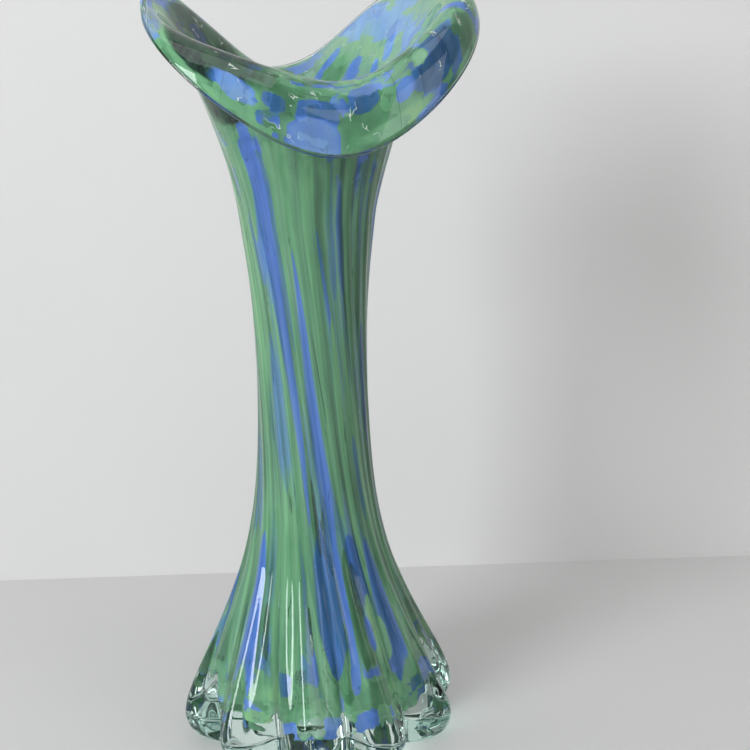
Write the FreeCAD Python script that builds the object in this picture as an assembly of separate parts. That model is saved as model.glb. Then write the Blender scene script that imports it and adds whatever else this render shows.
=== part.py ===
import FreeCAD, Part
import math
import os

# Hand blown art glass vase: a thick clear foot pulled out into ten toes, a slender twisted and
# ribbed body cased over blue and green streaks, and a rim flared wide and left to sag front and
# back so that two wings stand up at the sides. The vase stands on Z = 0 with its axis on Z, and
# its front, where the rim sags lowest, faces -Y. Millimetres and degrees throughout.

# ------------------------------------------------------------------ heights
FOOT_TOP = 12.0            # toes and base pad end, the blown body begins
NECK_TOP = 222.0           # the neck ends, the rim begins to flare
FLOOR_HEIGHT = 19.0        # inside floor above the table
WALL_START = 30.0          # inside wall begins above the rounded floor

# ------------------------------------------------------------------ outside of the body
RIDGE_RADIUS = [(12, 59.0), (18, 57.5), (26, 54.0), (35, 49.5), (45, 44.6), (54, 40.4), (63, 36.6),
                (76, 31.8), (90, 28.2), (104, 25.8), (120, 24.3), (140, 23.5), (160, 23.4),
                (180, 23.9), (200, 25.2), (222, 27.8)]
NECK_RADIUS = 23.4
RIB_DEPTH = [(12, 0.140), (26, 0.105), (45, 0.060), (63, 0.036), (90, 0.022), (140, 0.016),
             (222, 0.012)]          # share of the radius from the mean to a ridge
RIB_BREADTH = 0.2                   # broadens the ridges and narrows the valleys
RIDGE_SHARE = 1.0 - RIB_BREADTH     # height of a ridge over the mean, in rib depths
FLUTES_PER_TOE = 3                  # fine flutes from the optic mould, between and on the ribs
FLUTE_DEPTH = [(12, 0.012), (30, 0.022), (63, 0.018), (110, 0.010), (222, 0.006)]
WANDER = [(2, 30.0, 0.010), (3, 100.0, 0.008)]   # the foot is not quite round: times, azimuth, share
WANDER_TOP = 80.0                   # and is round above here
TWIST_PER_MM = 0.26                 # degrees, in the neck where the glass was drawn thinnest
TWIST_POWER = 1.2                   # the thick foot twisted less

# ------------------------------------------------------------------ toes
TOES = 10
TOE_PITCH = 360.0 / TOES
FIRST_TOE = 13.0                    # azimuth of one toe from +X
SEAM = FIRST_TOE - 2.5 * TOE_PITCH  # a valley between toes, where the first streak begins
TOE_UNDERCUT = 9.0                  # the toes curl in this far from FOOT_TOP to the table
PAD_RADIUS = 39.0
PAD_EDGE = 2.0                      # rounding of the pad's ground underside

# ------------------------------------------------------------------ rim
# Each is a mean and then (amplitude, azimuth of a peak) once, twice and three times round.
LIP_RADIUS = (58.0, [(7.4, -84.0), (4.8, 20.0), (4.0, -14.0)])
LIP_HEIGHT = (285.8, [(15.8, 99.0), (22.8, 15.0), (1.8, 53.0)])
FLARE_RISE = (25.0, [(14.6, -99.0), (7.6, 82.0)])    # the neck runs straight on up this far
SAG = (10.8, [(33.5, -72.0), (17.0, -54.0), (12.0, -3.0)])    # the lip falls this far below the fold
REACH = (13.8, [(11.8, 113.0), (3.1, -68.0)])    # and comes this far outside it

# ------------------------------------------------------------------ layers of glass
CASING = [(0.0, 12.6), (0.05, 9.0), (0.115, 4.8), (0.175, 2.8), (0.22, 2.1), (0.27, 1.8),
          (0.34, 1.6), (0.72, 1.5), (1.0, 1.2)]       # clear casing over the colour, by share
COLOUR = 0.7                                          # blue and green layer
LINING = [(0.0, 3.6), (0.12, 3.2), (0.3, 2.4), (0.72, 2.2), (1.0, 1.7)]
RIB_SHARES = (1.0, 0.74, 0.72, 0.35)                  # how strongly each surface shows the ribs
BODY_SHARE = 0.72          # share of the section that is body, the rest is rim
LIP_WIDTH = 1.7            # the layers end this far from the edge and the clear lip closes them
LIP_ROUND = 0.5            # how square the lip's edge is, 0 sharp to 1 full

# Widths of the streaks in degrees round the foot, in turn blue and green.
STREAK_WIDTHS = [9, 62, 22, 48, 16, 70, 26, 86, 11, 10]

# ------------------------------------------------------------------ control grid
COLUMNS = 24 * TOES
BODY_ROWS = 40
RIM_ROWS = 22
TOE_ROWS = 8


def smooth(stations, x):
    """Smooth curve through (x, y) stations, level beyond both ends."""
    xs = [s[0] for s in stations]
    ys = [s[1] for s in stations]
    if x <= xs[0]:
        return ys[0]
    if x >= xs[-1]:
        return ys[-1]
    i = max(j for j in range(len(xs) - 1) if xs[j] <= x)

    def slope(j):
        a, b = max(j - 1, 0), min(j + 1, len(xs) - 1)
        return (ys[b] - ys[a]) / (xs[b] - xs[a])

    h = xs[i + 1] - xs[i]
    s = (x - xs[i]) / h
    return ((1 + 2 * s) * (1 - s) ** 2 * ys[i] + s * (1 - s) ** 2 * h * slope(i)
            + s * s * (3 - 2 * s) * ys[i + 1] + s * s * (s - 1) * h * slope(i + 1))


def around(wave, azimuth):
    """Value of a wave round the rim at an azimuth."""
    mean, terms = wave
    return mean + sum(a * math.cos(math.radians(n * (azimuth - peak)))
                      for n, (a, peak) in enumerate(terms, 1))


def mean_radius(z):
    return smooth(RIDGE_RADIUS, z) / (1 + RIDGE_SHARE * smooth(RIB_DEPTH, z))


def build_twist():
    """Turn of the ribs in degrees at each whole millimetre above the foot."""
    turn = [0.0]
    for k in range(int(NECK_TOP - FOOT_TOP) + 20):
        radius = mean_radius(FOOT_TOP + k + 0.5)
        turn.append(turn[-1] - TWIST_PER_MM * (NECK_RADIUS / radius) ** TWIST_POWER)
    return turn


TURN = build_twist()


def twist(z):
    k = min(max(z - FOOT_TOP, 0.0), len(TURN) - 1.001)
    i = int(k)
    return TURN[i] + (k - i) * (TURN[i + 1] - TURN[i])


def rib(u, z):
    """Height of ribs and flutes at foot angle u, as a share of the radius."""
    c, c2, flute = [math.cos(math.radians(n * TOES * (u - FIRST_TOE))) for n in (1, 2, FLUTES_PER_TOE)]
    wander = sum(share * math.cos(math.radians(n * (u - peak))) for n, peak, share in WANDER)
    return (smooth(RIB_DEPTH, z) * (c - RIB_BREADTH * c2) + smooth(FLUTE_DEPTH, z) * flute
            + wander * max(0.0, 1 - z / WANDER_TOP))


def section(azimuth, t):
    """(r, z) of the outside without ribs: body up to BODY_SHARE, then the flared rim."""
    if t <= BODY_SHARE:
        z = FOOT_TOP + (NECK_TOP - FOOT_TOP) * t / BODY_SHARE
        return mean_radius(z), z
    s = (t - BODY_SHARE) / (1 - BODY_SHARE)
    r0 = mean_radius(NECK_TOP)
    lean = (r0 - mean_radius(NECK_TOP - 2)) / 2
    rise = around(FLARE_RISE, azimuth)
    r3, z3 = around(LIP_RADIUS, azimuth), around(LIP_HEIGHT, azimuth)
    r1, z1 = r0 + lean * rise, NECK_TOP + rise
    r2, z2 = r3 - around(REACH, azimuth), z3 + around(SAG, azimuth)
    b0, b1, b2, b3 = (1 - s) ** 3, 3 * s * (1 - s) ** 2, 3 * s * s * (1 - s), s ** 3
    return (b0 * r0 + b1 * r1 + b2 * r2 + b3 * r3, b0 * NECK_TOP + b1 * z1 + b2 * z2 + b3 * z3)


def turned(u, t):
    """Azimuth and height for the ribs of the glass that started at foot angle u."""
    if t <= BODY_SHARE:
        z = FOOT_TOP + (NECK_TOP - FOOT_TOP) * t / BODY_SHARE
        return u + twist(z), z, 1.0
    s = (t - BODY_SHARE) / (1 - BODY_SHARE)
    return u + twist(NECK_TOP + 18 * s * (2 - s)), NECK_TOP, (1 - s) ** 2


def depth_of(t, layer):
    """Depth below the outside of surface 0 outside, 1 and 2 faces of the colour, 3 inside."""
    depths = [0.0, smooth(CASING, t)]
    depths.append(depths[1] + COLOUR)
    depths.append(depths[2] + smooth(LINING, t))
    return depths[layer]


def inward(azimuth, t):
    """Unit normal of the section pointing into the glass, level at the foot."""
    step = 0.004
    a, b = section(azimuth, max(t - step, 0.0)), section(azimuth, min(t + step, 1.0))
    dr, dz = b[0] - a[0], b[1] - a[1]
    size = math.hypot(dr, dz)
    blend = min(t / 0.12, 1.0)
    blend = blend * blend * (3 - 2 * blend)
    nr, nz = -1.0 + blend * (1 - dz / size), blend * dr / size
    size = math.hypot(nr, nz)
    return nr / size, nz / size


def point(u, t, depth, rib_share):
    """Point at a depth below the outside, on the glass that started at foot angle u."""
    azimuth, rib_z, fade = turned(u, t)
    r, z = section(azimuth, t)
    nr, nz = inward(azimuth, t)
    r = (r + nr * depth) * (1 + rib_share * fade * rib(u, rib_z))
    a = math.radians(azimuth)
    return FreeCAD.Vector(r * math.cos(a), r * math.sin(a), z + nz * depth)


def lip_start(u):
    """Share of the section where the layers end, on the glass that started at foot angle u."""
    azimuth = turned(u, 1.0)[0]
    pull = math.hypot(around(REACH, azimuth), around(SAG, azimuth))
    return 1 - LIP_WIDTH * (1 - BODY_SHARE) / (3 * pull)


def column_angle(i):
    """Foot angle of control column i; a periodic cubic begins at its second column."""
    return SEAM + 360.0 * (i - 1) / COLUMNS


def skin(rows):
    """Smooth surface closed round the axis, from rows of functions of the foot angle."""
    poles = [[row(column_angle(i)) for row in rows] for i in range(COLUMNS)]
    inner = len(rows) - 4
    surface = Part.BSplineSurface()
    surface.buildFromPolesMultsKnots(
        poles, [1] * (COLUMNS + 1), [4] + [1] * inner + [4],
        [float(k) for k in range(COLUMNS + 1)], [float(k) for k in range(inner + 2)],
        True, False, 3, 3)
    return surface


def at_angle(u):
    """Surface parameter of foot angle u, from 0 at the seam to COLUMNS all the way round."""
    return (u - SEAM) / 360.0 * COLUMNS


def solid(faces, name):
    """Sew faces into one closed solid."""
    shell = Part.makeShell(faces)
    shell.sewShape()
    body = Part.makeSolid(Part.Shell(shell.Faces))
    if body.Volume < 0:
        body.reverse()
    if not body.isValid() or not body.isClosed():
        raise ValueError("%s is not a sound closed solid" % name)
    return body


def panel(surface, a, b):
    """Part of a skin between two parameters round the axis."""
    piece = surface.copy()
    piece.segment(a, b, *surface.bounds()[2:])
    return piece


def quarters(surface):
    """A closed skin as four panels."""
    step = COLUMNS / 4
    return [panel(surface, k * step, (k + 1) * step) for k in range(4)]


def row_curve(piece, end):
    """Curve along the first or last row of a panel."""
    return piece.vIso(piece.bounds()[2 + end])


def column_curve(piece, end):
    """Curve along the first or last column of a panel."""
    return piece.uIso(piece.bounds()[end])


def ruled(first, second):
    """Straight face between two curves that share their knots."""
    surface = Part.BSplineSurface()
    surface.buildFromPolesMultsKnots(
        [first.getPoles(), second.getPoles()], [2, 2], first.getMultiplicities(), [0.0, 1.0],
        first.getKnots(), False, False, 1, first.Degree)
    return surface.toShape()


def band(first, second, end):
    """Ring joining two skins at their first or last rows."""
    return [ruled(row_curve(a, end), row_curve(b, end)) for a, b in zip(first, second)]


def disc(panels, end):
    return Part.Face(Part.Wire([row_curve(p, end).toShape() for p in panels]))


def faces_of(panels):
    return [p.toShape() for p in panels]


def layer_point(u, row, layer):
    """Point of one wall surface at a row counted from the foot to the lip."""
    if row < BODY_ROWS:
        t = BODY_SHARE * row / BODY_ROWS
    else:
        t = BODY_SHARE + (lip_start(u) - BODY_SHARE) * (row - BODY_ROWS) / RIM_ROWS
    return point(u, t, depth_of(t, layer), RIB_SHARES[layer])


def layer_rows(layer, first=0):
    """Rows of one wall surface from the foot to the lip."""
    return [lambda u, row=row: layer_point(u, row, layer)
            for row in range(first, BODY_ROWS + RIM_ROWS + 1)]


def save(name, shape):
    """Write one sub-part."""
    shape.exportStep("parts/%s.step" % name)
    box = shape.BoundBox
    print("%-18s %9.0f mm3  z %.1f to %.1f" % (name, shape.Volume, box.ZMin, box.ZMax))


os.makedirs("parts", exist_ok=True)

# ------------------------------------------------------------------ wall surfaces
outside, colour_out, colour_in = [skin(layer_rows(n)) for n in (0, 1, 2)]


def floor_row(share, z):
    """Row of the rounded floor inside, at a share of the inside wall's radius."""
    t = BODY_SHARE * (WALL_START - FOOT_TOP) / (NECK_TOP - FOOT_TOP)

    def row(u):
        azimuth = math.radians(turned(u, t)[0])
        radius = share * (section(0, t)[0] - depth_of(t, 3))
        return FreeCAD.Vector(radius * math.cos(azimuth), radius * math.sin(azimuth), z)
    return row


def inside_rows():
    rows = [floor_row(share, FLOOR_HEIGHT + lift)
            for share, lift in ((0.3, 0.0), (0.5, 0.0), (0.7, 0.0), (0.86, 0.6), (0.97, 3.2))]
    first = math.ceil(BODY_ROWS * (WALL_START - FOOT_TOP) / (NECK_TOP - FOOT_TOP))
    return rows + layer_rows(3, first)


inside = skin(inside_rows())

# ------------------------------------------------------------------ inner gather
lined, hollow = quarters(colour_in), quarters(inside)
save("inner_gather", solid(
    faces_of(lined) + faces_of(hollow) + band(lined, hollow, 1) + [disc(lined, 0), disc(hollow, 0)],
    "inner_gather"))

# ------------------------------------------------------------------ outer casing
skin_out, skin_in = quarters(outside), quarters(colour_out)
save("outer_casing", solid(
    faces_of(skin_out) + faces_of(skin_in) + band(skin_out, skin_in, 0) + band(skin_out, skin_in, 1),
    "outer_casing"))


# ------------------------------------------------------------------ streaks of colour
def streak(u0, u1, name):
    """Ribbon of the colour layer between two foot angles, drawn out and twisted with the body."""
    outer, inner = [panel(s, at_angle(u0), at_angle(u1)) for s in (colour_out, colour_in)]
    faces = [outer.toShape(), inner.toShape()]
    for curve in (row_curve, column_curve):
        faces += [ruled(curve(outer, end), curve(inner, end)) for end in (0, 1)]
    return solid(faces, name)


angle = SEAM
for k, width in enumerate(STREAK_WIDTHS):
    name = "%s_streak_%d" % ("green" if k % 2 else "blue", k // 2 + 1)
    save(name, streak(angle, angle + width, name))
    angle += width


# ------------------------------------------------------------------ rim lip
def lip_point(u, along, across):
    """Point of the lip, along it from where the layers end to the edge and across the wall."""
    start = lip_start(u)
    t = start + (1 - start) * along
    return point(u, t, across * depth_of(t, 3), RIB_SHARES[0 if across < 0.5 else 3])


def lip_rows():
    """Round the lip from the outside face, over the edge and back down the inside face."""
    half = 0.5 * LIP_ROUND
    rows = [(0.0, 0.0), (0.45, 0.0), (0.85, 0.0), (1.07, 0.5 - half), (1.07, 0.5 + half),
            (0.85, 1.0), (0.45, 1.0), (0.0, 1.0)]
    return [lambda u, a=a, c=c: lip_point(u, a, c) for a, c in rows]


lip = skin(lip_rows())
lip_panels = quarters(lip)
closing = [ruled(row_curve(p, 0), row_curve(p, 1)) for p in lip_panels]
save("rim_lip", solid(faces_of(lip_panels) + closing, "rim_lip"))

# ------------------------------------------------------------------ base pad
pad = Part.makeCylinder(PAD_RADIUS, FOOT_TOP)
rim_edge = [e for e in pad.Edges if e.BoundBox.ZMax < 0.1 and e.BoundBox.XLength > PAD_RADIUS]
save("base_pad", pad.makeFillet(PAD_EDGE, rim_edge))


# ------------------------------------------------------------------ toes
def toe_rows():
    """Outside of the ring of toes from the body down to the table, curling in underneath."""
    rows = []
    for k in range(TOE_ROWS):
        turn = math.radians(90.0 * k / (TOE_ROWS - 1))
        z = FOOT_TOP * (1 - math.sin(turn))
        inset = TOE_UNDERCUT * (1 - math.cos(turn))
        rows.append(lambda u, z=z, inset=inset: toe_point(u, z, inset))
    return rows


def toe_point(u, z, inset):
    top = point(u, 0.0, 0.0, RIB_SHARES[0])
    radius = math.hypot(top.x, top.y)
    share = (radius - inset * (radius - PAD_RADIUS) / (smooth(RIDGE_RADIUS, 0) - PAD_RADIUS)) / radius
    return FreeCAD.Vector(top.x * share, top.y * share, z)


toe_skin = skin(toe_rows())


def on_pad(p, z):
    size = math.hypot(p.x, p.y)
    return FreeCAD.Vector(p.x * PAD_RADIUS / size, p.y * PAD_RADIUS / size, z)


def toe(k):
    """One toe: a sector of the foot ring between two valleys, outside the base pad."""
    outer = panel(toe_skin, k * COLUMNS / TOES, (k + 1) * COLUMNS / TOES)
    u0, u1, v0, v1 = outer.bounds()
    faces, arcs, walls = [outer.toShape()], [], []
    for end, z in ((0, FOOT_TOP), (1, 0.0)):
        rim = [outer.value(u, (v0, v1)[end]) for u in (u0, (u0 + u1) / 2, u1)]
        back = [on_pad(p, z) for p in rim]
        arcs.append(Part.Arc(*back).toShape())
        sides = [Part.makeLine(rim[i], back[i]) for i in (0, 2)]
        edges = [row_curve(outer, end).toShape(), sides[1], arcs[-1], sides[0]]
        faces.append(Part.Face(Part.Wire(edges)))
    for end, u in ((0, u0), (1, u1)):
        top, table = [on_pad(outer.value(u, v), z) for v, z in ((v0, FOOT_TOP), (v1, 0.0))]
        faces.append(Part.makeRuledSurface(column_curve(outer, end).toShape(), Part.makeLine(top, table)))
    faces.append(Part.makeRuledSurface(*arcs))
    return solid(faces, "foot_toe_%02d" % (k + 1))


for k in range(TOES):
    save("foot_toe_%02d" % (k + 1), toe(k))
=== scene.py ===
import math

import bpy
import numpy as np
from mathutils import Matrix, Vector


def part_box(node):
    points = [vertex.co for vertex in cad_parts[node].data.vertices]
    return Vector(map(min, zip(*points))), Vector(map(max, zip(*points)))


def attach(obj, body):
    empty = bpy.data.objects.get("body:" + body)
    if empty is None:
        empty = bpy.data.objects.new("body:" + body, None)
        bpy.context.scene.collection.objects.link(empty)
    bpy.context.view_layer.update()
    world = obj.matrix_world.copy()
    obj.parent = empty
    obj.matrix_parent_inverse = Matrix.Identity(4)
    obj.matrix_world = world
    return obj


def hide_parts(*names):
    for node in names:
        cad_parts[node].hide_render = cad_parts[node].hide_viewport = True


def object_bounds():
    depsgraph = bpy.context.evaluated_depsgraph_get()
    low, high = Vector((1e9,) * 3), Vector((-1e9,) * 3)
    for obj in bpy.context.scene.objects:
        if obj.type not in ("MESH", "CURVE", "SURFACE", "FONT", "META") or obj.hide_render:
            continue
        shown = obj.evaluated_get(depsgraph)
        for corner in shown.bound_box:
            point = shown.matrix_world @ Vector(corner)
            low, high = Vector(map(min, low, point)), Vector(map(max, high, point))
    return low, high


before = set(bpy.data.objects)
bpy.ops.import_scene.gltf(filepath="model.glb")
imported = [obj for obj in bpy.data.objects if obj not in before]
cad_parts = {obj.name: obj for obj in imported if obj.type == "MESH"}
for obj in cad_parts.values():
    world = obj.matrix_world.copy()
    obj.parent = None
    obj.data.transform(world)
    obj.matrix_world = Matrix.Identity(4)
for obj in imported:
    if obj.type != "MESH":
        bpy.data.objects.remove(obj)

# Hand blown art glass vase: clear toed foot, twisted ribbed body with a layer of blue and green
# streaks between two clear ones, and a flared rim with two wings. The shape repeats the CAD model's
# formulas, so each piece lies on the surfaces of the nodes that it replaces.

cad_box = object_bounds()
VASE_HEIGHT = cad_box[1][2]         # metres
MM = 0.001

# ------------------------------------------------------------------ shape, as in the CAD model, mm
FOOT_TOP = 12.0                     # toes and base pad end, the blown body begins
NECK_TOP = 222.0                    # the neck ends, the rim begins to flare
FLOOR_HEIGHT = 19.0                 # inside floor above the table
WALL_START = 30.0                   # inside wall begins above the rounded floor
RIDGE_RADIUS = [(12, 59.0), (18, 57.5), (26, 54.0), (35, 49.5), (45, 44.6), (54, 40.4), (63, 36.6),
                (76, 31.8), (90, 28.2), (104, 25.8), (120, 24.3), (140, 23.5), (160, 23.4),
                (180, 23.9), (200, 25.2), (222, 27.8)]
FOOT_RADIUS = RIDGE_RADIUS[0][1]
NECK_RADIUS = 23.4
RIB_DEPTH = [(12, 0.140), (26, 0.105), (45, 0.060), (63, 0.036), (90, 0.022), (140, 0.016),
             (222, 0.012)]          # share of the radius from the mean to a ridge
RIB_BREADTH = 0.2                   # broadens the ridges and narrows the valleys
FLUTES_PER_TOE = 3                  # fine flutes between and on the ribs
FLUTE_DEPTH = [(12, 0.012), (30, 0.022), (63, 0.018), (110, 0.010), (222, 0.006)]
WANDER = [(2, 30.0, 0.010), (3, 100.0, 0.008)]   # the foot is not quite round: times, azimuth, share
WANDER_TOP = 80.0                   # and is round above here
TWIST_PER_MM = 0.26                 # degrees, in the neck where the glass was drawn thinnest
TWIST_POWER = 1.2                   # the thick foot twisted less
RIM_TWIST = 18.0                    # the rim twists as much as this many mm of neck
TOES = 10
TOE_PITCH = 360.0 / TOES
FIRST_TOE = 13.0                    # azimuth of one toe from +X
SEAM = FIRST_TOE - 2.5 * TOE_PITCH  # a valley between toes, where the first streak begins
TOE_UNDERCUT = 9.0                  # the toes curl in this far from FOOT_TOP to the table
PAD_RADIUS = 39.0
PAD_EDGE = 2.0                      # rounding of the pad's ground underside

# Each is a mean and then (amplitude, azimuth of a peak) once, twice and three times round.
LIP_RADIUS = (58.0, [(7.4, -84.0), (4.8, 20.0), (4.0, -14.0)])
LIP_HEIGHT = (285.8, [(15.8, 99.0), (22.8, 15.0), (1.8, 53.0)])
FLARE_RISE = (25.0, [(14.6, -99.0), (7.6, 82.0)])    # the neck runs straight on up this far
SAG = (10.8, [(33.5, -72.0), (17.0, -54.0), (12.0, -3.0)])    # the lip falls this far below the fold
REACH = (13.8, [(11.8, 113.0), (3.1, -68.0)])    # and comes this far outside it

BODY_SHARE = 0.72                   # share of the section that is body, the rest is rim
LIP_WIDTH = 1.7                     # the layers end this far from the edge and the lip closes them
CASING = [(0.0, 12.6), (0.05, 9.0), (0.115, 4.8), (0.175, 2.8), (0.22, 2.1), (0.27, 1.8),
          (0.34, 1.6), (0.72, 1.5), (1.0, 1.2)]      # clear casing over the colour, by share
COLOUR = 0.7                        # blue and green layer
LINING = [(0.0, 3.6), (0.12, 3.2), (0.3, 2.4), (0.72, 2.2), (1.0, 1.7)]
RIB_SHARES = (1.0, 0.74, 0.72, 0.35)     # how strongly each surface shows the ribs
DEPTH_TURNS = 0.12                  # depths run level at the foot and square to the skin above this share
STREAK_WIDTHS = [9, 62, 22, 48, 16, 70, 26, 86, 11, 10]    # degrees, in turn blue and green

SKIN = 0.15                         # the looks stay this far inside the CAD surface
SLIT = 0.06                         # gap each side of the colour layer, so that no two faces coincide
COLUMNS = 72 * TOES
ROWS_PER_MM, RIM_ROWS = 1.1, 110


def smooth(stations, x):
    """Smooth curve through (x, y) stations, level beyond both ends."""
    xs = np.array([s[0] for s in stations], float)
    ys = np.array([s[1] for s in stations], float)
    slope = np.empty_like(ys)
    slope[1:-1] = (ys[2:] - ys[:-2]) / (xs[2:] - xs[:-2])
    slope[0] = (ys[1] - ys[0]) / (xs[1] - xs[0])
    slope[-1] = (ys[-1] - ys[-2]) / (xs[-1] - xs[-2])
    x = np.clip(np.asarray(x, float), xs[0], xs[-1])
    i = np.clip(np.searchsorted(xs, x, side="right") - 1, 0, len(xs) - 2)
    h = xs[i + 1] - xs[i]
    s = (x - xs[i]) / h
    return ((1 + 2 * s) * (1 - s) ** 2 * ys[i] + s * (1 - s) ** 2 * h * slope[i]
            + s * s * (3 - 2 * s) * ys[i + 1] + s * s * (s - 1) * h * slope[i + 1])


def around(wave, azimuth):
    """Value of a mean and its waves round the vase."""
    mean, terms = wave
    return mean + sum(a * np.cos(np.radians(n * (azimuth - peak)))
                      for n, (a, peak) in enumerate(terms, 1))


def mean_radius(z):
    """Radius halfway between ridges and valleys."""
    return smooth(RIDGE_RADIUS, z) / (1 + (1 - RIB_BREADTH) * smooth(RIB_DEPTH, z))


MILLIMETRES = np.arange(int(NECK_TOP - FOOT_TOP + RIM_TWIST) + 3)
TURN = np.concatenate([[0.0], -np.cumsum(
    TWIST_PER_MM * (NECK_RADIUS / mean_radius(FOOT_TOP + MILLIMETRES[:-1] + 0.5)) ** TWIST_POWER)])


def twist(z):
    """Degrees that the glass at height z has turned since the foot."""
    return np.interp(np.asarray(z, float) - FOOT_TOP, MILLIMETRES, TURN)


def rib(u, z):
    """Ribs, flutes and wander as a share of the radius."""
    c, c2, flute = [np.cos(np.radians(n * TOES * (u - FIRST_TOE))) for n in (1, 2, FLUTES_PER_TOE)]
    wander = sum(share * np.cos(np.radians(n * (u - peak))) for n, peak, share in WANDER)
    return (smooth(RIB_DEPTH, z) * (c - RIB_BREADTH * c2) + smooth(FLUTE_DEPTH, z) * flute
            + wander * np.maximum(0.0, 1 - z / WANDER_TOP))


def section(azimuth, t):
    """(r, z) of the outside without ribs: body up to BODY_SHARE, then the flared rim."""
    azimuth, t = np.broadcast_arrays(np.asarray(azimuth, float), np.asarray(t, float))
    height = FOOT_TOP + (NECK_TOP - FOOT_TOP) * t / BODY_SHARE
    s = np.maximum(t - BODY_SHARE, 0.0) / (1 - BODY_SHARE)
    r0 = mean_radius(NECK_TOP)
    lean = (r0 - mean_radius(NECK_TOP - 2)) / 2
    rise = around(FLARE_RISE, azimuth)
    r3, z3 = around(LIP_RADIUS, azimuth), around(LIP_HEIGHT, azimuth)
    r1, z1 = r0 + lean * rise, NECK_TOP + rise
    r2, z2 = r3 - around(REACH, azimuth), z3 + around(SAG, azimuth)
    b0, b1, b2, b3 = (1 - s) ** 3, 3 * s * (1 - s) ** 2, 3 * s * s * (1 - s), s ** 3
    body = t <= BODY_SHARE
    return (np.where(body, mean_radius(height), b0 * r0 + b1 * r1 + b2 * r2 + b3 * r3),
            np.where(body, height, b0 * NECK_TOP + b1 * z1 + b2 * z2 + b3 * z3))


def turned(u, t):
    """Azimuth, height for the ribs, and their strength, of the glass that started at foot angle u."""
    t = np.asarray(t, float)
    height = np.minimum(FOOT_TOP + (NECK_TOP - FOOT_TOP) * t / BODY_SHARE, NECK_TOP)
    s = np.maximum(t - BODY_SHARE, 0.0) / (1 - BODY_SHARE)
    return u + twist(height + RIM_TWIST * s * (2 - s)), height, (1 - s) ** 2


def lip_start(u):
    """Share of the section where the layers end, on the glass that started at foot angle u."""
    azimuth = turned(u, 1.0)[0]
    pull = np.hypot(around(REACH, azimuth), around(SAG, azimuth))
    return 1 - LIP_WIDTH * (1 - BODY_SHARE) / (3 * pull)


def depth_of(t, layer):
    """Depth of a surface: 0 outside, 1 and 2 either side of the colour, 3 inside the vase."""
    depth = smooth(CASING, t)
    return (0.0 * depth, depth, depth + COLOUR, depth + COLOUR + smooth(LINING, t))[layer]


def point(u, t, depth, rib_share):
    """Points at a depth below the outside, on the glass that started at foot angles u, mm."""
    azimuth, rib_z, fade = turned(u, t)
    r, z = section(azimuth, t)
    step = 0.004
    ra, za = section(azimuth, np.maximum(t - step, 0.0))
    rb, zb = section(azimuth, np.minimum(t + step, 1.0))
    dr, dz = rb - ra, zb - za
    size = np.hypot(dr, dz)
    blend = np.minimum(np.asarray(t, float) / DEPTH_TURNS, 1.0)
    blend = blend * blend * (3 - 2 * blend)
    nr, nz = -1.0 + blend * (1 - dz / size), blend * dr / size
    size = np.hypot(nr, nz)
    r = (r + nr / size * depth) * (1 + rib_share * fade * rib(u, rib_z))
    a = np.radians(azimuth)
    return np.stack([r * np.cos(a), r * np.sin(a), z + nz / size * depth], -1)


def shares():
    """Nominal shares of the section from the foot to the end of the layers at 1."""
    rows = int((NECK_TOP - FOOT_TOP) * ROWS_PER_MM)
    return np.concatenate([np.linspace(0, BODY_SHARE, rows, endpoint=False),
                           np.linspace(BODY_SHARE, 1, RIM_ROWS)])


def laid(u, nominal):
    """True shares of a row of the layers, which end lip_start short of the edge."""
    above = max(nominal - BODY_SHARE, 0.0) / (1 - BODY_SHARE)
    return min(nominal, BODY_SHARE) + above * (lip_start(u) - BODY_SHARE)


# ------------------------------------------------------------------ the colour layer
GATHER_RADIUS = 25.0        # radius of the gather when the chips were rolled on
NECK_STRETCH = 9.0          # how much further a chip was drawn out in the neck
LINE_STRETCH = 70.0         # the finest lines of colour run this much longer than they are wide
COLOUR_START = 15.6         # mean height of the colour's lower end, mm
COLOUR_FADE = 4.0           # and the height over which it thins out


def lengths():
    """By share of the section: length along the wall, and along the gather before it was drawn."""
    ts = np.linspace(0, 1, 400)
    radial, height = section(0.0, ts)
    run = np.hypot(np.diff(radial), np.diff(height))
    drawn = smooth([(0.0, 1.5), (0.05, 2.2), (0.12, 5.0), (0.26, NECK_STRETCH), (0.66, NECK_STRETCH),
                    (0.80, 2.0), (1.0, 1.0)], 0.5 * (ts[1:] + ts[:-1]))
    return ts, np.concatenate([[0.0], np.cumsum(run)]), np.concatenate([[0.0], np.cumsum(run / drawn)])


LENGTH_T, WALL_LENGTH, GATHER_LENGTH = lengths()


def on_gather(u, t, length, stretch=1.0):
    """Where the glass lay on the round gather, mm."""
    a = np.radians(u)
    along = np.interp(t, LENGTH_T, length) / stretch + 0 * a
    return np.stack([GATHER_RADIUS * np.cos(a), GATHER_RADIUS * np.sin(a), along], -1)


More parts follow.
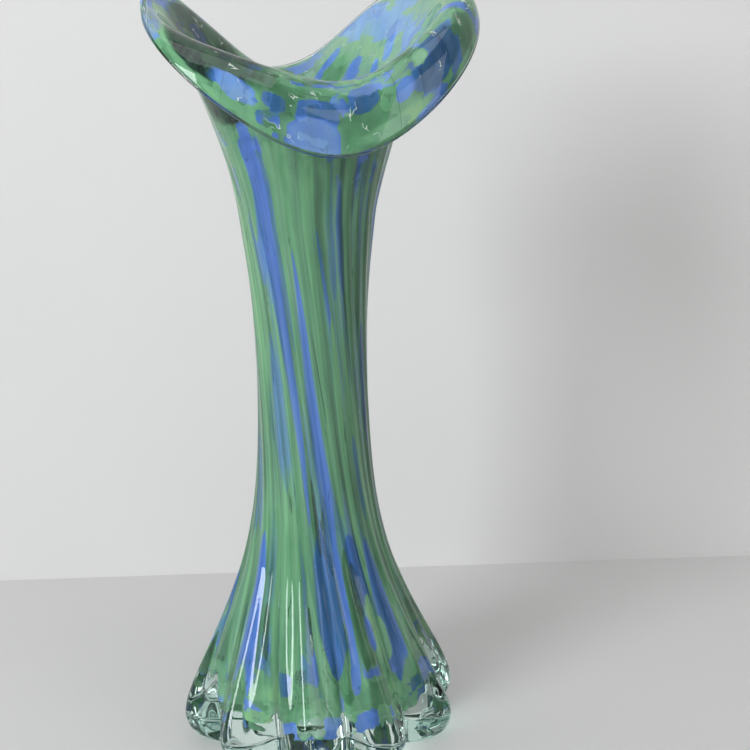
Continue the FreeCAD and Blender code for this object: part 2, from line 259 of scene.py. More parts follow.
# Streaks as they were laid: heights along the wall (low, high), foot angles (low end, high end),
# half widths in degrees (low end, high end), hue (1 blue to -1 green), tone (above 0 light, above
# 0.5 milky, below 0 dark) and hold (how far it covers what lies under it). Later ones lie over
# earlier ones. On the rim some tones are painted light and shade: painted shade on the wing at -X
# and in its fold, painted sheen on the wing at +X, a painted highlight along the lip in front and a
# painted window reflection on the front lip.
STREAKS = [
    # neck, body and foot
    (100, 240, 17, 17, 7, 7, -0.8, -0.35, 0.85), (130, 275, -126, -126, 9, 9, -0.8, 0.3, 0.9),
    (100, 235, -51, -51, 7, 8, -0.7, 0.0, 0.6), (40, 122, -104, -103, 9, 8, -0.8, 0.2, 0.8),
    (150, 235, -112, -112, 5, 6, -0.8, 0.15, 0.8), (148, 212, -75, -76, 5, 5, -0.9, 0.0, 0.8),
    (160, 250, -11, -12, 4, 5, -1.0, 0.05, 0.9), (18, 38, -79, -79, 46, 46, -0.7, 0.35, 0.6),
    (110, 178, -103, -103, 7, 6, 0.45, -0.1, 0.7), (196, 228, -100, -100, 6, 6, 0.35, -0.2, 0.8),
    (170, 245, -76, -78.5, 3, 3.5, 0.35, -0.15, 0.8), (190, 245, -28, -29, 3.5, 4, 0.3, -0.3, 0.7),
    (200, 262, -64, -66, 8, 9, -0.8, 0.2, 0.7), (214, 290, -98, -100, 5, 7, -0.9, 0.1, 0.9),
    (40, 88, -58, -56, 4, 3.5, -0.9, -0.85, 0.85), (26, 60, -70, -68, 5, 4, -0.9, -0.6, 0.8),
    (92, 133, -142, -142, 4, 4, 0.5, 0.1, 0.7), (28, 94, -133, -132, 5, 4, 0.7, -0.1, 0.9),
    (36, 97, -77, -75, 9, 7, 0.7, -0.45, 0.95), (64, 93, -48, -49, 8, 7, 0.7, -0.5, 0.85),
    (29, 90, -31.5, -31, 5.5, 4, 0.9, -0.35, 0.9), (176, 220, -34, -39.5, 1.4, 1.2, 0.8, 0.0, 0.9),
    (192, 232, -19, -19.5, 3, 3.5, 0.3, -0.5, 0.8), (128, 180, 6, 7, 4, 4.5, 0.5, -0.6, 0.8),
    (96, 134, -23, -23, 3, 3, 0.5, -0.25, 0.8), (98, 262, -83.2, -85.6, 2, 5.8, 1.0, 0.2, 1.0),
    (88, 212, -62.5, -64, 4.6, 2.8, 1.0, 0.15, 1.0), (30, 96, -65.3, -63.4, 2.4, 2.6, 1.0, 0.4, 1.0),
    (70, 190, -89.5, -94, 2.8, 2.2, -1.0, 0.45, 0.9), (24, 78, -84, -89.7, 2.6, 2.6, -1.0, 0.6, 1.0),
    (28, 133, -116.5, -116.5, 1.9, 1.6, -0.8, 0.5, 0.9), (66, 184, -39, -34, 3.2, 3.6, -1.0, 0.35, 0.9),
    (28, 92, -157.5, -157, 5, 4, -0.9, 0.7, 0.9), (42, 68, -44, -45, 3.6, 3.4, -1.0, 0.5, 1.0),
    (120, 232, -3.5, -3.5, 2, 2, -0.3, 0.35, 0.7), (36, 51, -91, -91, 1.8, 1.6, 1.0, 0.5, 0.9),
    (11, 20, -102, -102, 6, 5, 1.0, 0.35, 0.95), (11, 18.5, -86, -86, 8, 7, 0.9, 0.25, 0.95),
    (13, 23, -94, -94, 4, 4, -1.0, 0.9, 1.0), (15, 25, -117, -117, 6, 5, -1.0, 0.8, 0.9),
    (13, 22, -73, -73, 5, 5, -1.0, 0.85, 0.9), (30, 41, -108, -108, 4, 4, 0.8, -0.6, 0.9),
    (46, 60, -52, -52, 4, 4, 0.7, -0.2, 0.8), (12, 24, -60, -60, 6, 5, 0.9, 0.1, 0.8),
    (40, 58, -37, -37, 3, 3, -1.0, 0.7, 0.9), (24, 36, -48, -48, 5, 5, -1.0, 0.3, 0.8),
    # the rim in front and on the wing at -X
    (280, 320, -22, -22, 40, 40, -0.75, -0.1, 0.6), (292, 316, -76, -76, 16, 18, -0.85, 0.2, 0.85),
    # painted shade: the very dark streak from foot angle -86 to -78 stands for the shade in the fold of the
    # wing at -X
    (285, 297, -46, -46, 9, 9, -0.9, -0.45, 0.9), (250, 300, -86, -78, 26, 22, -0.3, -1.85, 1.0),
    (292, 300, -65, -65, 6, 7, 0.7, 0.8, 0.9), (293, 316, -100, -100, 9, 10, 0.3, 1.15, 0.85),
    (291, 297, -53, -53, 3.5, 3.5, 1.0, -0.6, 0.9), (288, 298, -37, -37.5, 7.5, 9, 1.0, -0.5, 1.0),
    # the light blue patch at foot angle -38.5 is a blue chip, made light for a painted reflection of the
    # window on the front lip
    (294.8, 314, -38.5, -38.5, 11, 11.5, 1.0, 0.7, 1.0), (288, 314, -15, -15, 12, 13, -1.0, 0.0, 0.95),
    (283, 294.5, -20, -20, 7, 6.5, 1.0, -0.6, 1.0), (284, 301, 11, 11, 12.5, 12.5, 0.8, -0.9, 1.0),
    # painted highlight: the light green band at foot angle -9, along the very lip, stands for light caught
    # on the rounded edge of the lip
    (289, 302, 27, 27, 4.5, 4.5, -0.9, -0.6, 0.9), (299.6, 303.2, -9, -9, 13, 13, -1.0, 0.62, 1.0),
    (290, 297.5, -3, -4, 3, 4, 1.0, 0.1, 1.0), (284, 291, 6, 6, 3, 3, -1.0, 0.7, 0.9),
    # the wing at +X and the back; the high, milky tones on the wing at +X are partly painted sheen, where
    # its inside faces the window
    (246, 322, 95, 95, 46, 52, -0.15, 1.0, 0.85), (275, 298, 74, 120, 13, 12, -0.95, 0.75, 0.9),
    (283, 307, 74, 112, 9, 12, 0.8, 0.8, 0.85), (280, 288.5, 104, 103, 5, 5, 0.9, 0.45, 0.9),
    (289, 298.5, 130, 118, 5, 5, 0.9, 0.1, 0.9), (284, 294.5, 117, 116, 8, 7, -0.9, 0.05, 0.9),
    (276, 285, 79, 80, 3.5, 3.5, 0.9, 0.5, 0.9), (273, 281, 87, 88, 2.5, 2.5, 0.9, 0.45, 0.9),
    # painted shade: the dark streak at foot angle -143 stands for the shade on the inside of the wing at
    # -X, which faces away from the window
    (262, 285, 56, 70, 5, 6, 0.6, 0.7, 0.8), (256, 300, -143, -143, 24, 26, -0.15, -1.5, 0.9),
]
# Places where the layer tore open, given like streaks without hue and tone.
GAPS = [(86, 117, -75.5, -77, 2.6, 1.5, 0.7), (60, 82, -53, -52, 5, 4, 0.7),
        (48, 66, -91, -91.5, 1.2, 1, 0.9), (44, 66, -123, -123, 1.5, 1.2, 0.8),
        (140, 178, -53, -56, 0.5, 0.4, 0.8)]


def far_side_streaks(count=34):
    """The same kind of streaks round the back."""
    chance = np.random.default_rng(31)
    streaks = []
    for _ in range(count):
        low = chance.uniform(22, 170)
        angle, half = chance.uniform(27, 192), chance.uniform(1.4, 5.5)
        hue = chance.choice([-1.0, -0.8, -0.6, 0.6, 0.9, 1.0])
        streaks.append((low, low + chance.uniform(50, 170), angle, angle + chance.uniform(-3, 3), half,
                        half * chance.uniform(0.6, 1.3), hue, chance.uniform(-0.35, 0.5), 0.9))
    return streaks


def crispness(t):
    """0 where the chips were drawn into soft streaks, 1 where they stayed chips."""
    return float(smooth([(0.0, 1.0), (0.05, 0.85), (0.10, 0.35), (0.18, 0.05), (0.35, 0.0), (0.72, 0.0),
                         (0.80, 0.5), (0.88, 1.0)], t))


def cover(streak, u, z, number):
    """How far a streak covers the layer at foot angles u and height z along the wall, 0 to 1."""
    low, high, low_angle, high_angle, low_half, high_half = streak[:6]
    along = (z - low) / (high - low)
    if not 0 < along < 1:
        return 0 * u
    angle = low_angle + (high_angle - low_angle) * along + 0.5 * math.sin(0.06 * z + 1.7 * number)
    half = low_half + (high_half - low_half) * along
    half *= min(1.0, 4.5 * min(along, 1 - along)) ** 0.5
    away = np.abs((u - angle + 180) % 360 - 180)
    crisp = crispness((z - FOOT_TOP) / (NECK_TOP - FOOT_TOP) * BODY_SHARE)
    soft = 0.45 + (0.16 + 0.20 * crisp) * half      # where crisp, the chips decide the edge
    share = np.clip((half + soft - away) / (2 * soft), 0, 1)
    return share * share * (3 - 2 * share)


ALL_STREAKS = far_side_streaks() + STREAKS


def laid_colour(u, z):
    """Hue, tone, hold and gap of the laid streaks at foot angles u and height z along the wall."""
    hue, tone, hold, gap = [np.zeros_like(u) for _ in range(4)]
    for number, streak in enumerate(ALL_STREAKS):
        share = cover(streak, u, z, number) * streak[8]
        hue, tone = hue + share * (streak[6] - hue), tone + share * (streak[7] - tone)
        hold = np.maximum(hold, share)
    for number, streak in enumerate(GAPS):
        gap = np.maximum(gap, cover(streak, u, z, number) * streak[6])
    return hue, tone, hold, gap


def colour_end(u, z):
    """Above 0 where there is colour: it ends raggedly a little above the table."""
    a = np.radians(u)
    ragged = 1.2 * np.sin(3 * a + 0.4) + 1.2 * np.sin(8 * a) + 0.8 * np.sin(19 * a + 2)
    return (z - COLOUR_START - ragged) / COLOUR_FADE


# ------------------------------------------------------------------ meshes
def grid_faces(rows, cols, first, closed, flip):
    """Quads of a rows x cols grid whose vertices begin at first."""
    r, c = np.meshgrid(np.arange(rows - 1), np.arange(cols if closed else cols - 1), indexing="ij")
    d = (c + 1) % cols
    quads = np.stack([first + r * cols + c, first + r * cols + d,
                      first + (r + 1) * cols + d, first + (r + 1) * cols + c], -1).reshape(-1, 4)
    return quads[:, ::-1] if flip else quads


def make_object(name, vertices, faces, slots, smooth_faces, materials, nodes, attributes=()):
    """A piece from blocks of faces, each with its material's number and smooth or flat."""
    mesh = bpy.data.meshes.new(name)
    flat = np.concatenate([np.asarray(f).ravel() for f in faces])
    sizes = np.concatenate([np.full(len(f), np.asarray(f).shape[1]) for f in faces])
    mesh.vertices.add(len(vertices))
    mesh.vertices.foreach_set("co", (np.asarray(vertices) * MM).ravel())
    mesh.loops.add(len(flat))
    mesh.loops.foreach_set("vertex_index", flat.astype(np.int32))
    mesh.polygons.add(len(sizes))
    mesh.polygons.foreach_set("loop_start", np.concatenate([[0], np.cumsum(sizes)[:-1]]).astype(np.int32))
    mesh.polygons.foreach_set("material_index", np.concatenate(
        [np.full(len(f), s) for f, s in zip(faces, slots)]).astype(np.int32))
    mesh.update(calc_edges=True)
    mesh.polygons.foreach_set("use_smooth", np.concatenate(
        [np.full(len(f), s) for f, s in zip(faces, smooth_faces)]))
    for label, values in attributes:
        kind = "FLOAT_VECTOR" if values.ndim == 2 else "FLOAT"
        layer = mesh.attributes.new(label, kind, "POINT")
        layer.data.foreach_set("vector" if kind == "FLOAT_VECTOR" else "value",
                               np.asarray(values, np.float32).ravel())
    for m in materials:
        mesh.materials.append(m)
    mesh.validate()
    obj = bpy.data.objects.new(name, mesh)
    bpy.context.scene.collection.objects.link(obj)
    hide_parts(*nodes)
    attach(obj, "root")


class Surface:
    """Collects grids of one closed piece."""

    def __init__(self):
        self.points, self.faces, self.slots, self.smooth = [], [], [], []
        self.count = 0

    def add(self, points):
        """points rows x cols x 3; returns the index of the first vertex."""
        first = self.count
        self.points.append(points.reshape(-1, 3))
        self.count += points.shape[0] * points.shape[1]
        return first

    def grid(self, points, slot, closed=True, flip=False):
        first = self.add(points)
        rows, cols = points.shape[:2]
        self.faces.append(grid_faces(rows, cols, first, closed, flip))
        self.slots.append(slot)
        self.smooth.append(True)
        return first

    def bridge(self, a, b, slot, closed=True):
        """Flat ring of quads between two equal rows of vertex indices."""
        a, b = np.asarray(a), np.asarray(b)
        n = len(a)
        i = np.arange(n if closed else n - 1)
        j = (i + 1) % n
        self.face(np.stack([a[i], a[j], b[j], b[i]], -1), slot)

    def face(self, corners, slot):
        """One flat face, or one row of faces with as many corners each."""
        self.faces.append(corners)
        self.slots.append(slot)
        self.smooth.append(False)

    def fan(self, first, z, slot, turn_over):
        """Close a ring of COLUMNS vertices with triangles to a middle on the axis at height z."""
        middle = self.add(np.array([[[0.0, 0.0, z]]]))
        ring = np.arange(COLUMNS)
        corners = np.stack([first + ring, first + (ring + 1) % COLUMNS, np.full(COLUMNS, middle)], -1)
        self.face(corners[:, ::-1] if turn_over else corners, slot)

    def build(self, name, materials, nodes, attributes=()):
        make_object(name, np.concatenate(self.points), self.faces, self.slots, self.smooth,
                    materials, nodes, attributes)


def wall(ts, us, layer, shift=0.0):
    """Grid of one surface of the wall, moved by shift mm towards the inside."""
    rows = []
    for nominal in ts:
        t = laid(us, nominal)
        rows.append(point(us, t, depth_of(t, layer) + shift, RIB_SHARES[layer]))
    return np.stack(rows)


# ------------------------------------------------------------------ materials
class Nodes:
    """A material's node tree, with short calls for the nodes used here."""

    def __init__(self, name):
        self.material = bpy.data.materials.new(name)
        self.material.use_nodes = True
        self.tree = self.material.node_tree
        self.tree.nodes.clear()
        self.output = self.new("ShaderNodeOutputMaterial")

    def new(self, kind, **settings):
        node = self.tree.nodes.new(kind)
        for key, value in settings.items():
            setattr(node, key, value)
        return node

    def link(self, a, b):
        self.tree.links.new(a, b)

    def put(self, socket, value):
        """Link a socket, or set a constant on it."""
        if isinstance(value, bpy.types.NodeSocket):
            self.link(value, socket)
        elif value is not None:
            socket.default_value = value

    def math(self, operation, a, b=None, c=None, clamp=False):
        node = self.new("ShaderNodeMath", operation=operation, use_clamp=clamp)
        for socket, value in zip(node.inputs, (a, b, c)):
            self.put(socket, value)
        return node.outputs[0]

    def centred(self, value, gain):
        """A 0 to 1 pattern as plus or minus half of gain."""
        return self.math("MULTIPLY", self.math("SUBTRACT", value, 0.5), gain)

    def total(self, *values):
        result = values[0]
        for value in values[1:]:
            result = self.math("ADD", result, value)
        return result

    def ramp(self, factor, stops):
        """Colours by factor, from (place, colour) stops."""
        node = self.new("ShaderNodeValToRGB")
        elements = node.color_ramp.elements
        while len(elements) < len(stops):
            elements.new(0.5)
        for element, (place, colour) in zip(elements, stops):
            element.position = place
            element.color = (*colour, 1.0)
        self.put(node.inputs[0], factor)
        return node.outputs[0]

    def mix_colour(self, factor, a, b):
        """From a to b, each a socket or a colour."""
        node = self.new("ShaderNodeMix", data_type="RGBA")
        self.put(node.inputs[0], factor)
        for socket, value in ((node.inputs[6], a), (node.inputs[7], b)):
            self.put(socket, (*value, 1.0) if isinstance(value, tuple) else value)
        return node.outputs[2]

    def mix_shader(self, factor, a, b):
        node = self.new("ShaderNodeMixShader")
        self.put(node.inputs[0], factor)
        self.link(a, node.inputs[1])
        self.link(b, node.inputs[2])
        return node.outputs[0]

    def attribute(self, name):
        return self.new("ShaderNodeAttribute", attribute_name=name)

    def noise(self, vector, scale, detail=2.0, rough=0.5):
        node = self.new("ShaderNodeTexNoise")
        self.put(node.inputs["Vector"], vector)
        node.inputs["Scale"].default_value = scale
        node.inputs["Detail"].default_value = detail
        node.inputs["Roughness"].default_value = rough
        return node

    def done(self, shader):
        self.link(shader, self.output.inputs["Surface"])
        return self.material


def srgb(code):
    """Linear colour of a hex code."""
    values = [int(code[k:k + 2], 16) / 255 for k in (0, 2, 4)]
    return tuple(v / 12.92 if v <= 0.04045 else ((v + 0.055) / 1.055) ** 2.4 for v in values)


GLASS_IOR = 1.5


def clear_glass(name, tint, ripple=0.05):
    """Fire-polished glass: faint ripples left by the marver, and lamps shine through it."""
    n = Nodes(name)
    place = n.new("ShaderNodeTexCoord").outputs["Object"]
    broad = n.noise(place, 55.0, 1.0)
    fine = n.noise(place, 240.0, 2.0)
    height = n.math("ADD", broad.outputs[0], n.math("MULTIPLY", fine.outputs[0], 0.12))
    bump = n.new("ShaderNodeBump")
    bump.inputs["Strength"].default_value = ripple
    bump.inputs["Distance"].default_value = 0.002
    n.link(height, bump.inputs["Height"])
    glass = n.new("ShaderNodeBsdfGlass")
    glass.inputs["Color"].default_value = (*tint, 1.0)
    glass.inputs["Roughness"].default_value = 0.0
    glass.inputs["IOR"].default_value = GLASS_IOR
    n.link(bump.outputs[0], glass.inputs["Normal"])
    through = n.new("ShaderNodeBsdfTransparent")
    through.inputs["Color"].default_value = (*tint, 1.0)
    path = n.new("ShaderNodeLightPath")
    return n.done(n.mix_shader(path.outputs["Is Shadow Ray"], glass.outputs[0], through.outputs[0]))


def fused_interface():
    """Where one body of glass is fused to the next there is nothing to see."""
    n = Nodes("fused_interface")
    return n.done(n.new("ShaderNodeBsdfTransparent").outputs[0])


GREEN_STOPS = [(0.0, srgb("1e362f")), (0.15, srgb("3f6b4a")), (0.35, srgb("5b9068")),
               (0.50, srgb("79b388")), (0.65, srgb("93cb9b")), (0.85, srgb("acd994"))]
BLUE_STOPS = [(0.0, srgb("1f344c")), (0.15, srgb("2f5682")), (0.35, srgb("447ab0")),
              (0.50, srgb("648fe0")), (0.65, srgb("80aaf0")), (0.85, srgb("a4cffa"))]
VEIL = srgb("86a39a")       # thin clear glass over the drawn colour
MILK_AND_SHEEN = srgb("a3b5c3")       # where the layer is pale and milky, and painted sheen and highlight on the rim
CRACKLE = srgb("eef4ea")    # white cracks between chips
CHIPS_PER_MM = 0.21         # along and round the gather
CHIP_WARP = 7.0             # mm, how far the edges of the chips are pushed about
CRACK_HALF_WIDTH = 0.013    # in chips
GREEN_SHARE = 0.29          # how far the unlaid colour leans to green
THROUGH = 0.42              # share of the light that the colour lets through


def chips(n, chip):
    """Pushed-about chip coordinates, the distance to a chip's edge, and three random values a chip."""
    warp = n.noise(chip, 0.30, 2.0)
    shift = n.new("ShaderNodeVectorMath", operation="SCALE")
    n.link(warp.outputs["Color"], shift.inputs[0])
    shift.inputs["Scale"].default_value = CHIP_WARP
    warped = n.new("ShaderNodeVectorMath", operation="ADD")
    n.link(chip, warped.inputs[0])
    n.link(shift.outputs[0], warped.inputs[1])
    cells = n.new("ShaderNodeTexVoronoi", feature="F1")
    edges = n.new("ShaderNodeTexVoronoi", feature="DISTANCE_TO_EDGE")
    for node in (cells, edges):
        n.link(warped.outputs[0], node.inputs["Vector"])
        node.inputs["Scale"].default_value = CHIPS_PER_MM
    cell = n.new("ShaderNodeSeparateColor")
    n.link(cells.outputs["Color"], cell.inputs[0])
    return warped.outputs[0], edges.outputs["Distance"], cell.outputs


def colour_layer(name, lean):
    """Chips and streaks of blue and green glass, soft and drawn out in the neck, crisp at rim and foot.

    lean tips the balance between green (below 0) and blue (above 0) in a ribbon.
    """
    n = Nodes(name)
    chip = n.attribute("chip").outputs["Vector"]
    line = n.attribute("line").outputs["Vector"]
    crisp, hue, tone, hold, gap, end = [n.attribute(label).outputs["Fac"] for label in
                                        ("crisp", "hue", "tone", "hold", "gap", "end")]
    warped, edge, cell = chips(n, chip)
    clouds = n.noise(chip, 0.10, 3.0, 0.55).outputs[0]
    drawn = n.math("MULTIPLY_ADD", crisp, -0.85, 1.0)
    mid, fine, other = [
        n.math("MULTIPLY", n.math("SUBTRACT", n.noise(line, scale, 2.0).outputs[0], 0.5), drawn)
        for scale in (0.27, 1.2, 0.50)]

    # blue or green: the laid streaks first, then chips at rim and foot and lines in the neck
    loose = n.math("MULTIPLY_ADD", hold, -0.80, 1.0)
    chance = n.total(n.centred(clouds, 1.8), n.math("MULTIPLY", mid, 2.2),
                     n.math("MULTIPLY", n.centred(cell[0], 2.2), crisp), lean - GREEN_SHARE)
    vote = n.total(n.math("MULTIPLY", chance, loose), n.math("MULTIPLY", hue, 0.75),
                   n.math("MULTIPLY", fine, 0.35))
    sharp = n.math("MULTIPLY_ADD", crisp, 6.0, 1.9)
    blue = n.math("MULTIPLY_ADD", vote, sharp, 0.5, clamp=True)

    # light or dark, and the veil and milk over it; on the rim the tones also paint shade, sheen and a
    # highlight
    grain = n.total(n.centred(n.noise(chip, 0.24, 2.0).outputs[0], 0.6), n.math("MULTIPLY", other, 0.7),
                    n.math("MULTIPLY", fine, 0.30), n.math("MULTIPLY", n.centred(cell[1], 0.34), crisp))
    light = n.total(n.math("MULTIPLY", grain, n.math("MULTIPLY_ADD", hold, -0.45, 1.0)),
                    n.math("MULTIPLY", tone, 0.27), 0.5)
    colour = n.mix_colour(blue, n.ramp(light, GREEN_STOPS), n.ramp(light, BLUE_STOPS))
    threads = n.math("MULTIPLY_ADD", n.noise(line, 0.7, 1.0).outputs[0], 3.0, -1.2, clamp=True)
    veil = n.math("MULTIPLY", threads, n.math("MULTIPLY_ADD", hold, -0.40, 0.55))
    colour = n.mix_colour(veil, colour, VEIL)
    # milk and painted sheen: high tones turn pale, which on the rim paints the sheen on the wing at +X and
    # the highlight along the lip
    colour = n.mix_colour(n.math("MULTIPLY_ADD", tone, 1.3, -0.65, clamp=True), colour, MILK_AND_SHEEN)

    # short white cracks between some chips
    rare = n.math("GREATER_THAN", n.noise(chip, 0.33, 1.0).outputs[0], 0.65)
    crack = n.math("LESS_THAN", edge, CRACK_HALF_WIDTH)
    crack = n.math("MULTIPLY", n.math("MULTIPLY", crack, rare), n.math("GREATER_THAN", crisp, 0.9))
    colour = n.mix_colour(crack, colour, CRACKLE)

    # clear where the layer tore open and below its ragged lower end
    tears = n.math("MULTIPLY_ADD", n.noise(warped, 0.30, 2.0).outputs[0], 9.0, -5.9, clamp=True)
    torn = n.math("MAXIMUM", n.math("MULTIPLY", tears, 0.7), gap)
    kept = n.math("MULTIPLY_ADD", n.total(end, n.centred(cell[2], 2.6), n.centred(clouds, 2.0)), 5.0, 0.5,
                  clamp=True)
    solid = n.math("SUBTRACT", n.math("MULTIPLY_ADD", other, 0.5, 0.92), torn, clamp=True)
    opacity = n.math("MULTIPLY", n.math("MAXIMUM", solid, crack), kept)

    front = n.new("ShaderNodeBsdfDiffuse")
    back = n.new("ShaderNodeBsdfTranslucent")
    n.link(colour, front.inputs["Color"])
    n.link(colour, back.inputs["Color"])
    body = n.mix_shader(THROUGH, front.outputs[0], back.outputs[0])
    clear = n.new("ShaderNodeBsdfTransparent")
    return n.done(n.mix_shader(opacity, clear.outputs[0], body))


AQUA = (0.955, 0.985, 0.972)        # thin clear glass
FOOT_AQUA = (0.86, 0.95, 0.92)      # the same glass seen through the thick foot
casing_glass = clear_glass("casing_glass", AQUA)
lining_glass = clear_glass("lining_glass", AQUA, 0.02)
foot_glass = clear_glass("foot_glass", FOOT_AQUA, 0.08)
interface = fused_interface()
streak_glass = {"blue": colour_layer("blue_streak_glass", 0.10),
                "green": colour_layer("green_streak_glass", -0.10)}

# ------------------------------------------------------------------ pieces
ALL_ROUND = SEAM + 360.0 * np.arange(COLUMNS) / COLUMNS


def make_casing():
    ts = shares()
    s = Surface()
    outer = s.grid(wall(ts, ALL_ROUND, 0, SKIN), 0)
    inner = s.grid(wall(ts, ALL_ROUND, 1), 1, flip=True)
    last = (len(ts) - 1) * COLUMNS
    ring = np.arange(COLUMNS)
    s.bridge(inner + ring, outer + ring, 1)
    s.bridge(outer + last + ring, inner + last + ring, 1)
    s.build("outer_casing_glass", [casing_glass, interface], ["outer_casing"])


def floor_rows():
    """Rows of the rounded inside floor, from the middle out, mm."""
    t = BODY_SHARE * (WALL_START - FOOT_TOP) / (NECK_TOP - FOOT_TOP)
    azimuth = np.radians(turned(ALL_ROUND, t)[0])
    radius = float(section(0.0, t)[0]) - depth_of(t, 3)
    rows = []
    steps = 14
    for k in range(steps):
        turn = math.radians(90.0 * k / steps)
        share = 0.02 + 0.96 * math.sin(turn) ** 0.6
        z = FLOOR_HEIGHT + SKIN + (WALL_START - FLOOR_HEIGHT) * (1 - math.cos(turn)) ** 2.2
        rows.append(np.stack([share * radius * np.cos(azimuth), share * radius * np.sin(azimuth),
                              z + 0 * azimuth], -1))
    return rows


def make_lining():
    ts = shares()
    start = BODY_SHARE * (WALL_START - FOOT_TOP) / (NECK_TOP - FOOT_TOP)
    upper = [t for t in ts if t >= start]
    s = Surface()
    outer = s.grid(wall(ts, ALL_ROUND, 2), 1)
    hollow = np.concatenate([np.stack(floor_rows()), wall(upper, ALL_ROUND, 3)])
    inner = s.grid(hollow, 0, flip=True)
    ring = np.arange(COLUMNS)
    s.bridge(outer + (len(ts) - 1) * COLUMNS + ring, inner + (len(hollow) - 1) * COLUMNS + ring, 1)
    # close the side fused to the pad and the middle of the floor
    s.fan(outer, FOOT_TOP, 1, True)
    s.fan(inner, FLOOR_HEIGHT + SKIN, 0, False)
    s.build("inner_gather_glass", [lining_glass, interface], ["inner_gather"])


def make_streak(kind, number, first, width):
    """One ribbon of the colour layer."""
    ts = shares()
    columns = max(6, int(round(width / 360.0 * COLUMNS)))
    us = first + width * np.arange(columns + 1) / columns
    s = Surface()
    outer = s.grid(wall(ts, us, 1, SLIT), 0, closed=False)
    inner = s.grid(wall(ts, us, 2, -SLIT), 0, closed=False, flip=True)
    n, rows = columns + 1, len(ts)
    across, down = np.arange(n), np.arange(rows) * n
    s.bridge(inner + across, outer + across, 0, closed=False)
    s.bridge(outer + (rows - 1) * n + across, inner + (rows - 1) * n + across, 0, closed=False)
    s.bridge(outer + down, inner + down, 0, closed=False)
    s.bridge(inner + down + n - 1, outer + down + n - 1, 0, closed=False)
    one = {label: [] for label in ("chip", "line", "crisp", "hue", "tone", "hold", "gap", "end")}
    for t in ts:
        z = FOOT_TOP + (NECK_TOP - FOOT_TOP) * t / BODY_SHARE
        values = [on_gather(us, t, GATHER_LENGTH), on_gather(us, t, WALL_LENGTH, LINE_STRETCH),
                  np.full(n, crispness(t)), *laid_colour(us, z), colour_end(us, z)]
        for label, value in zip(one, values):
            one[label].append(value)
    attributes = []
    for label, rows_of in one.items():
        values = np.concatenate(rows_of)
        attributes.append((label, np.concatenate([values, values])))
    name = "%s_streak_%d" % (kind, number)
    s.build(name + "_glass", [streak_glass[kind]], [name], attributes)


def make_lip():
    """Fire-polished lip: over the edge from the outside to the inside."""
    us = ALL_ROUND
    start = lip_start(us)

    def row(along, across, shift, rib_share):
        t = start + (1 - start) * along
        return point(us, t, across * (depth_of(t, 3) - shift) + shift, rib_share)

    rows = [row(along, 0.0, SKIN, RIB_SHARES[0]) for along in np.linspace(0, 0.3, 4)]
    steps = 14
    for k in range(1, steps):
        turn = math.pi * k / steps
        across = 0.5 * (1 - math.cos(turn))
        side = 0 if across < 0.5 else 3
        rows.append(row(0.3 + 0.55 * math.sin(turn) ** 0.8, across, SKIN, RIB_SHARES[side]))
    rows += [row(along, 1.0, SKIN, RIB_SHARES[3]) for along in np.linspace(0.3, 0, 4)]
    s = Surface()
    skin = s.grid(np.stack(rows), 0)
    ring = np.arange(COLUMNS)
    s.bridge(skin + (len(rows) - 1) * COLUMNS + ring, skin + ring, 1)
    s.build("rim_lip_glass", [casing_glass, interface], ["rim_lip"])


def make_pad():
    """Thick clear base: a flat ground underside with a rounded edge, fused above and round the side."""
    a = np.radians(ALL_ROUND)
    rows = []
    for radius, z in [(r, SKIN) for r in np.linspace(1.0, PAD_RADIUS - PAD_EDGE, 12)] + [
            (PAD_RADIUS - PAD_EDGE + PAD_EDGE * math.sin(k), SKIN + PAD_EDGE * (1 - math.cos(k)))
            for k in np.linspace(0.2, math.pi / 2, 8)]:
        rows.append(np.stack([radius * np.cos(a), radius * np.sin(a), z + 0 * a], -1))
    s = Surface()
    under = s.grid(np.stack(rows), 0)
    ring = np.arange(COLUMNS)
    top = s.add(np.stack([PAD_RADIUS * np.cos(a), PAD_RADIUS * np.sin(a), FOOT_TOP + 0 * a], -1)[None])
    s.bridge(under + (len(rows) - 1) * COLUMNS + ring, top + ring, 1)
    s.fan(under, SKIN, 0, True)
    s.fan(top, FOOT_TOP, 1, False)
    s.build("base_pad_glass", [foot_glass, interface], ["base_pad"])


def make_toe(k):
    """One clear toe: rounded outside, flat ground underside, fused to pad, casing and neighbours."""
    first = SEAM + TOE_PITCH * k
    n = COLUMNS // TOES + 1
    us = first + TOE_PITCH * np.arange(n) / (n - 1)
    top = point(us, 0.0, SKIN, RIB_SHARES[0])
    radius = np.hypot(top[:, 0], top[:, 1])
    unit = top[:, :2] / radius[:, None]
    rows = []
    for turn in np.linspace(0, math.pi / 2, 16):
        inset = TOE_UNDERCUT * (1 - math.cos(turn)) * (radius - PAD_RADIUS) / (FOOT_RADIUS - PAD_RADIUS)
        z = SKIN + (FOOT_TOP - SKIN) * (1 - math.sin(turn))
        rows.append(np.concatenate([unit * (radius - inset)[:, None], np.full((n, 1), z)], -1))
    inner_top = np.concatenate([unit * PAD_RADIUS, np.full((n, 1), FOOT_TOP)], -1)
    inner_low = np.concatenate([unit * PAD_RADIUS, np.full((n, 1), SKIN)], -1)
    s = Surface()
    outer = s.grid(np.stack(rows), 0, closed=False, flip=True)
    a, b = s.add(inner_top[None]), s.add(inner_low[None])
    across = np.arange(n)
    low = outer + (len(rows) - 1) * n
    s.bridge(outer + across, a + across, 1, closed=False)
    s.bridge(a + across, b + across, 1, closed=False)
    s.bridge(b + across, low + across, 0, closed=False)
    for end, over in ((0, True), (n - 1, False)):
        edge = [outer + r * n + end for r in range(len(rows))]
        corners = [a + end] + edge + [b + end]
        s.face(np.array([corners[::-1] if over else corners]), 1)
    s.build("foot_toe_%02d_glass" % (k + 1), [foot_glass, interface], ["foot_toe_%02d" % (k + 1)])


